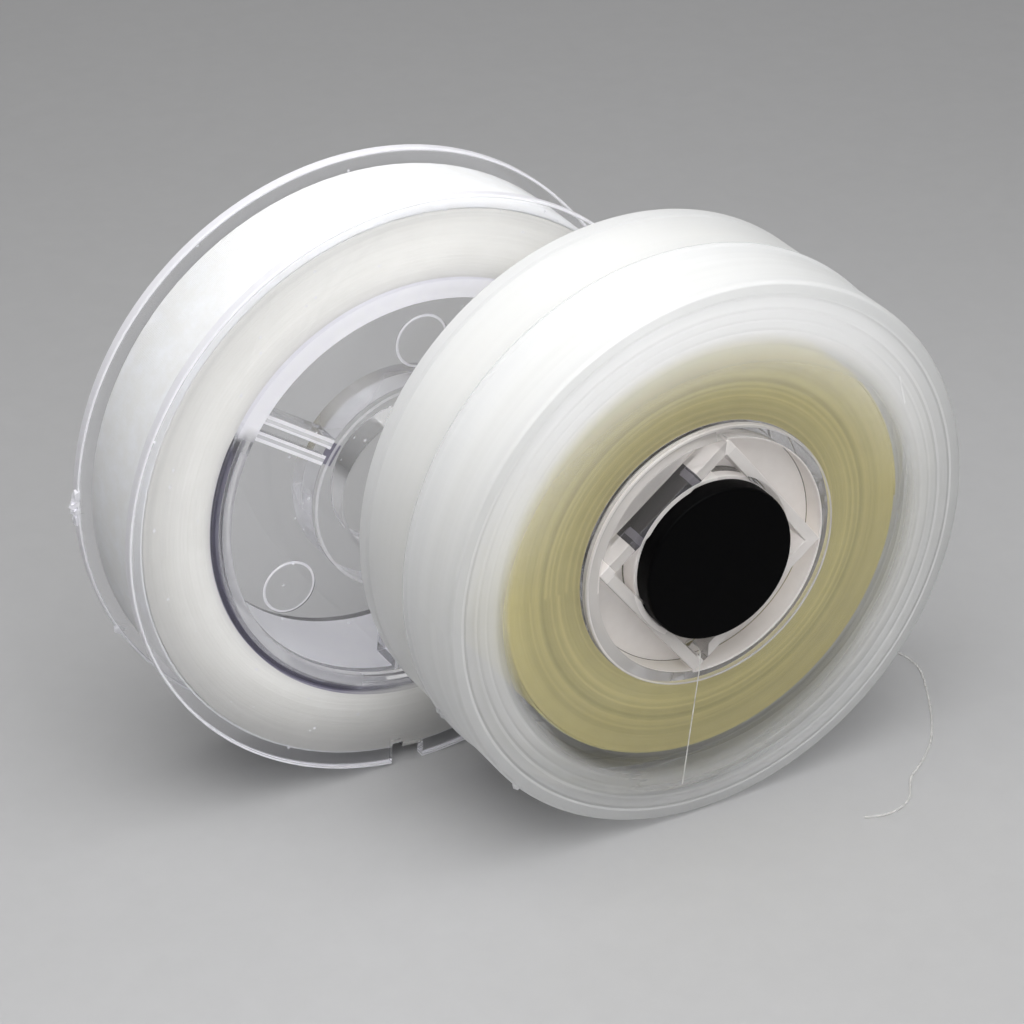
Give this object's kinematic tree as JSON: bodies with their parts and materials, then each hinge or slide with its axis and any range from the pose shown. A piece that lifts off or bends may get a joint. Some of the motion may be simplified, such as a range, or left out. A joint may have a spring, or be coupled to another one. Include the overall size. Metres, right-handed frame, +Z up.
{
  "type": "fishing line spool pair",
  "caption": "Two clear fishing line spools standing on their rims: an open one wound with white line and a reel of khaki line in a frosted case with a black cap",
  "frame": {"origin": "on the bore axis of the clear spool, at the back end of its bore, which is half way along its width", "axes": "+Y along both bore axes towards the back, -Y towards the front faces, +Z up, +X towards the cased spool's side"},
  "size_m": [0.0954, 0.0512, 0.07],
  "materials": {
    "clear_plastic": "clear, polished",
    "foggy_plastic": "frosted translucent",
    "hub_plastic": "clear, slightly grey",
    "white_line": "satin wound line",
    "khaki_line": "satin wound line",
    "loose_line": "single clear strand",
    "black_cap": "matt"
  },
  "bodies": {
    "case": {"case_front_shell": "foggy_plastic", "case_back_shell": "foggy_plastic", "line_tail": "loose_line"},
    "rear_spool": {"rear_front_half": "clear_plastic", "rear_back_half": "clear_plastic", "rear_line_core": "white_line", "rear_line_turns": "white_line"},
    "reel": {"reel_front_half": "hub_plastic", "reel_back_half": "hub_plastic", "reel_line_core": "khaki_line", "reel_line_turns": "khaki_line", "reel_line_end": "loose_line"},
    "cap": {"centre_cap": "black_cap"}
  },
  "joints": [
    {"name": "rear_spool_turn", "type": "hinge", "parent": "case", "child": "rear_spool", "pos_m": [0, 0, 0], "axis": [0, 1, 0], "continuous": true},
    {"name": "reel_turn", "type": "hinge", "parent": "case", "child": "reel", "pos_m": [0.0223, -0.02195, -0.00225], "axis": [0, 1, 0], "continuous": true},
    {"name": "cap_pull", "type": "slide", "parent": "reel", "child": "cap", "axis": [0, -1, 0], "range_m": [0, 0.012]}
  ]
}
